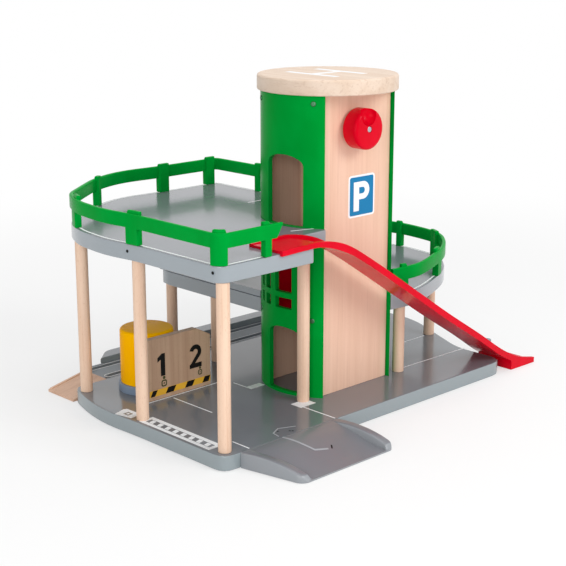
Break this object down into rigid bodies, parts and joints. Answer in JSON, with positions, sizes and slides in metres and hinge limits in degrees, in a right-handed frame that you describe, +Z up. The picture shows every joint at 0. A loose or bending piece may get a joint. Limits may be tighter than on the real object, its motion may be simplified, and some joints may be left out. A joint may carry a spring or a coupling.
{
  "type": "toy parking garage with lift",
  "caption": "Toy parking garage: a base board with ramp and rail track, two decks on dowel posts with railings, a slide, and a tower whose lift car a crank knob raises and lowers.",
  "frame": {"origin": "the lift tower's axis where it meets the underside of the base board", "axes": "+X toward the foot of the slide, along the longest side; +Y to the back, where the rail track is; +Z up"},
  "size_m": [0.4187, 0.343, 0.2973],
  "materials": {
    "panel_wood": "clear-coated pale beech",
    "dowel_wood": "smooth sanded beech dowel",
    "base_lacquer": "mid grey gloss lacquer on board",
    "deck_lacquer": "light grey gloss lacquer on board",
    "grey_plastic": "satin grey moulding",
    "green_plastic": "glossy green moulding",
    "red_plastic": "glossy red moulding",
    "yellow_plastic": "satin yellow moulding",
    "steel": "plated steel"
  },
  "bodies": {
    "garage": {"base_board": "base_lacquer", "track_strip": "panel_wood", "back_kerb": "base_lacquer", "front_ramp": "grey_plastic", "upper_deck": "deck_lacquer", "mid_deck": "deck_lacquer", "mid_deck_kerb": "deck_lacquer", "post_front": "dowel_wood", "post_side": "dowel_wood", "post_left_rear": "dowel_wood", "post_tower": "dowel_wood", "post_right": "dowel_wood", "post_rear_right": "dowel_wood", "post_mid_left": "dowel_wood", "post_mid_back": "dowel_wood", "tower_left_shell": "green_plastic", "tower_right_shell": "green_plastic", "tower_front_panel": "panel_wood", "tower_back_panel": "panel_wood", "roof_disc": "panel_wood", "guide_front": "panel_wood", "guide_back": "panel_wood", "front_bush": "steel", "rear_bush": "steel", "upper_railing": "green_plastic", "mid_railing": "green_plastic", "slide": "red_plastic", "slide_foot_peg": "grey_plastic", "bay_divider": "panel_wood", "drum_plinth": "grey_plastic", "drum_body": "yellow_plastic"},
    "lift": {"lift_car": "red_plastic", "lift_hanger": "steel"},
    "crank": {"crank_shaft": "steel", "crank_knob": "red_plastic", "knob_screw": "steel", "cord_spool": "dowel_wood"}
  },
  "joints": [
    {"name": "lift_travel", "type": "slide", "parent": "garage", "child": "lift", "axis": [0, 0, 1], "range_m": [-0.0752, 0.0765]},
    {"name": "crank_turn", "type": "hinge", "parent": "garage", "child": "crank", "pos_m": [-0.0032, 0, 0.2525], "axis": [0, 1, 0], "range_deg": [-412, 419]}
  ],
  "couplings": [
    {"joint": "crank_turn", "follows": "lift_travel", "rad_per_m": 95.238}
  ]
}
